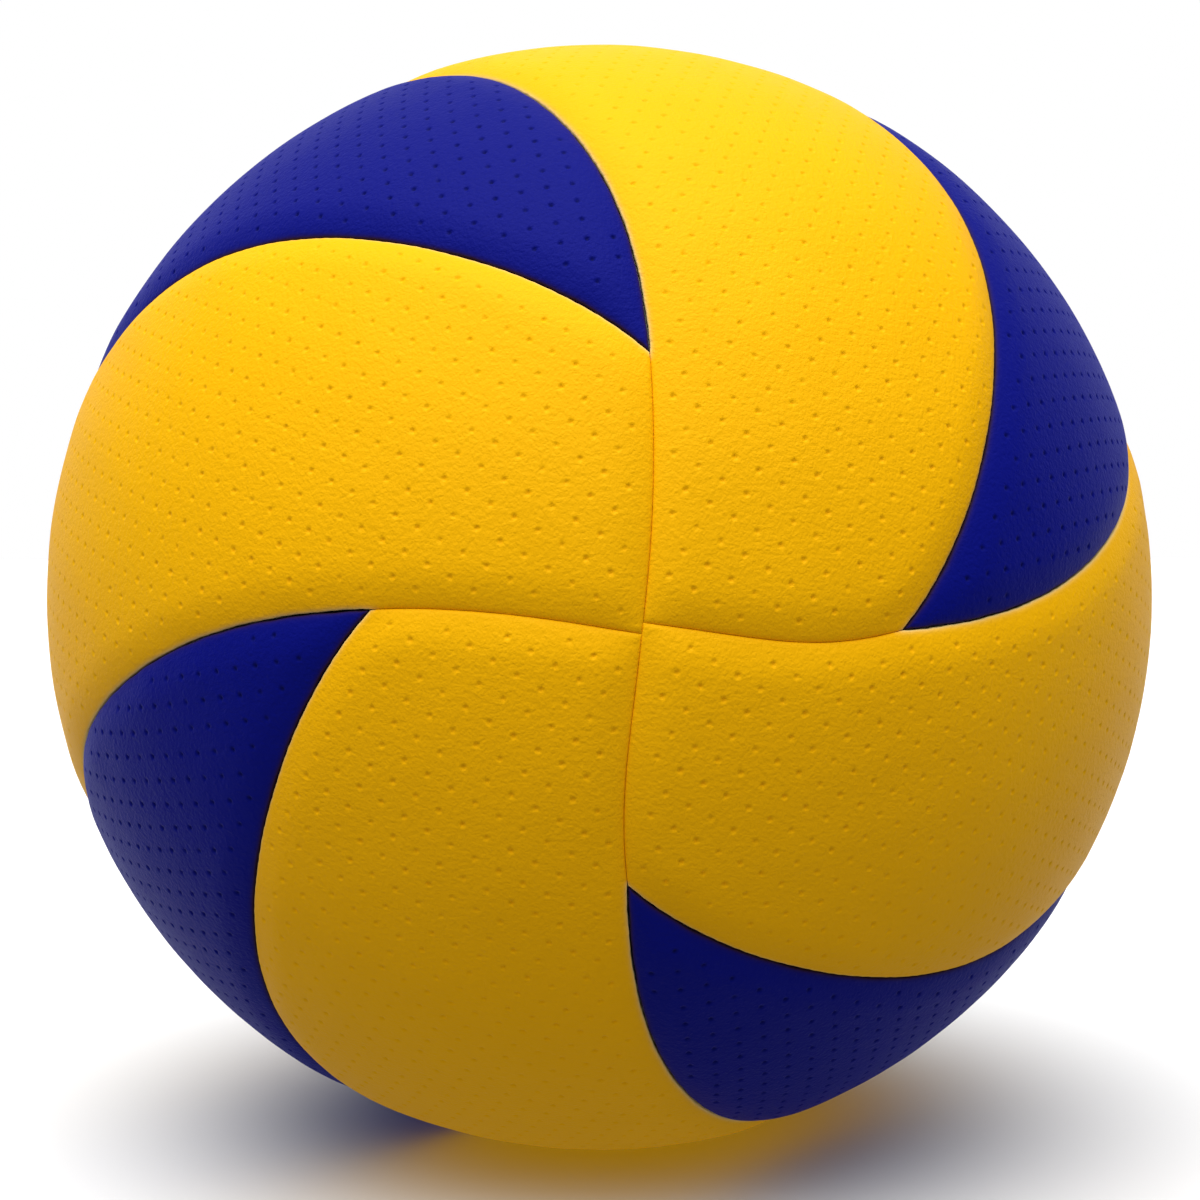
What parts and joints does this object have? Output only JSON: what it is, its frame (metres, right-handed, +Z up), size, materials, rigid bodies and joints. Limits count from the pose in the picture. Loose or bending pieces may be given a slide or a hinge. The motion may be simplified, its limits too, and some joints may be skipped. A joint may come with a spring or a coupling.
{
  "type": "volleyball",
  "caption": "Inflatable indoor volleyball: swirling panels in alternating colours on foam, over a rubber carcass, a thread winding and a bladder with a needle valve.",
  "frame": {"origin": "centre of the ball", "axes": "+Z up, with the ball resting on its lowest point; -Y towards the point where the yellow skins meet, +Y towards the point where the blue skins meet"},
  "size_m": [0.21, 0.21, 0.21],
  "materials": {
    "yellow_microfibre": "satin, dimpled",
    "blue_microfibre": "satin, dimpled",
    "foam": "matt closed-cell foam",
    "carcass_rubber": "matt",
    "nylon_thread": "wound thread",
    "butyl_rubber": "matt",
    "valve_rubber": "matt"
  },
  "bodies": {
    "root": {"bladder": "butyl_rubber", "thread_winding": "nylon_thread", "rubber_carcass": "carcass_rubber", "valve_seat": "valve_rubber", "valve_plug": "valve_rubber", "valve_rim": "valve_rubber", "foam_yellow_1": "foam", "foam_yellow_2": "foam", "foam_yellow_3": "foam", "foam_yellow_4": "foam", "foam_blue_1": "foam", "foam_blue_2": "foam", "foam_blue_3": "foam", "foam_blue_4": "foam", "skin_yellow_1": "yellow_microfibre", "skin_yellow_2": "yellow_microfibre", "skin_yellow_3": "yellow_microfibre", "skin_yellow_4": "yellow_microfibre", "skin_blue_1": "blue_microfibre", "skin_blue_2": "blue_microfibre", "skin_blue_3": "blue_microfibre", "skin_blue_4": "blue_microfibre"}
  },
  "joints": []
}
